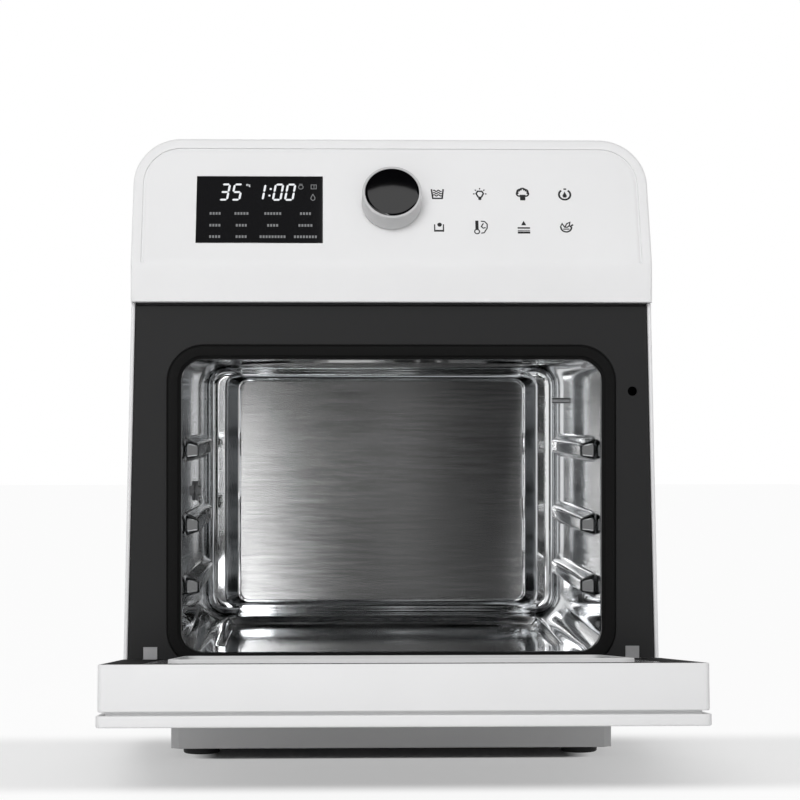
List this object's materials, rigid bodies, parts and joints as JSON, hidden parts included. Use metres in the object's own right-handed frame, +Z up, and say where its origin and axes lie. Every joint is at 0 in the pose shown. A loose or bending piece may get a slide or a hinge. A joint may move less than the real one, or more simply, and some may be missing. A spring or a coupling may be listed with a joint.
{
  "type": "steam air fryer",
  "caption": "Countertop steam air-fry oven with a bottom-hinged drop-down door, sloping control panel with knob and display, drip tray and lift-out water tank.",
  "frame": {"origin": "under the middle of the whole object at rest, with its door open, on the plane of the counter", "axes": "+X to the object's own left-to-right as seen from its front, +Y from its door to its back, +Z up"},
  "size_m": [0.3534, 0.6418, 0.409],
  "materials": {
    "shell_paint": "white baked enamel, fine satin",
    "cover_paint": "pale grey powder coat",
    "zinc_steel": "plain zinc-plated sheet",
    "plinth_grey": "grey moulded plastic",
    "foot_rubber": "black moulded rubber",
    "tray_grey": "grey moulded plastic, satin",
    "frame_dark": "charcoal baked enamel, satin",
    "fascia_white": "white moulded plastic, satin",
    "black_glass": "black backed glass, gloss",
    "module_black": "black display block",
    "board_green": "green circuit board",
    "inner_plastic": "dark moulded plastic",
    "knob_pale": "pale satin plastic",
    "cap_black": "glossy black disc",
    "liner_steel": "polished stainless sheet",
    "seal_black": "black silicone seal",
    "brushed_panel": "brushed stainless sheet",
    "fibre_wrap": "pale ceramic fibre mat",
    "heater_sheath": "dark heat-tinted tube",
    "motor_paint": "grey motor can",
    "lamp_ceramic": "plain white ceramic",
    "clear_glass": "clear tempered glass",
    "tank_clear": "smoky clear plastic",
    "lid_white": "white moulded plastic",
    "hose_silicone": "milky silicone hose",
    "cast_aluminium": "rough die casting",
    "door_white": "white moulded plastic, satin",
    "door_black": "black enamel",
    "frame_steel": "bright stainless trim",
    "magnet_grey": "bare ferrite block"
  },
  "bodies": {
    "cabinet": {"outer_shell": "shell_paint", "rear_cover": "cover_paint", "rear_screws": "zinc_steel", "base_pan": "zinc_steel", "plinth": "plinth_grey", "feet": "foot_rubber", "front_frame": "frame_dark", "control_fascia": "fascia_white", "display_window": "black_glass", "display_module": "module_black", "display_board": "board_green", "board_screws": "zinc_steel", "encoder_body": "inner_plastic", "cavity_liner": "liner_steel", "cavity_gasket": "seal_black", "back_panel": "brushed_panel", "insulation_wrap": "fibre_wrap", "liner_support": "zinc_steel", "heater_housing": "zinc_steel", "heater_element": "heater_sheath", "heater_guard": "brushed_panel", "motor_bracket": "zinc_steel", "fan_motor": "motor_paint", "lamp_holder": "lamp_ceramic", "lamp_bulb": "clear_glass", "lamp_lens": "clear_glass", "tank_cradle": "inner_plastic", "suction_hose": "hose_silicone", "water_pump": "inner_plastic", "water_hose": "hose_silicone", "steam_boiler": "cast_aluminium", "steam_hose": "hose_silicone", "steam_nozzle": "zinc_steel", "temperature_probe": "zinc_steel", "power_board": "board_green", "rear_gland": "inner_plastic", "door_sensor": "inner_plastic", "hinge_bracket_left": "zinc_steel", "hinge_bracket_right": "zinc_steel"},
    "door": {"door_frame": "door_white", "door_inner_panel": "door_black", "door_glass_frame": "frame_steel", "door_inner_glass": "clear_glass", "door_outer_panel": "door_white", "door_outer_glass": "black_glass", "door_magnet": "magnet_grey", "hinge_arm_left": "zinc_steel", "hinge_arm_right": "zinc_steel", "hinge_pins": "zinc_steel"},
    "plunger": {"push_plunger": "inner_plastic"},
    "knob": {"encoder_shaft": "zinc_steel", "knob_body": "knob_pale", "knob_cap": "cap_black"},
    "fan_rotor": {"rotor_shaft": "zinc_steel", "hot_air_fan": "zinc_steel", "cooling_fan": "inner_plastic"},
    "tray": {"drip_tray": "tray_grey"},
    "tank": {"water_tank": "tank_clear", "tank_lid": "lid_white"}
  },
  "joints": [
    {"name": "door_hinge", "type": "hinge", "parent": "cabinet", "child": "door", "pos_m": [0, -0.08056, 0.058], "axis": [-1, 0, 0], "range_deg": [0, 85]},
    {"name": "knob_press", "type": "slide", "parent": "cabinet", "child": "plunger", "axis": [0, 0.9063, -0.4226], "range_m": [0, 0.001], "stiffness_N_per_m": 900, "springref_m": -0.002},
    {"name": "knob_turn", "type": "hinge", "parent": "plunger", "child": "knob", "pos_m": [0, -0.05851, 0.36379], "axis": [0, -0.9063, 0.4226], "continuous": true},
    {"name": "fan_spin", "type": "hinge", "parent": "cabinet", "child": "fan_rotor", "pos_m": [0, 0.06994, 0.3019], "axis": [0, 0, 1], "continuous": true},
    {"name": "tray_pull", "type": "slide", "parent": "cabinet", "child": "tray", "axis": [0, -1, 0], "range_m": [0, 0.185]},
    {"name": "tank_lift", "type": "slide", "parent": "cabinet", "child": "tank", "axis": [0, 0, 1], "range_m": [0, 0.2]}
  ]
}
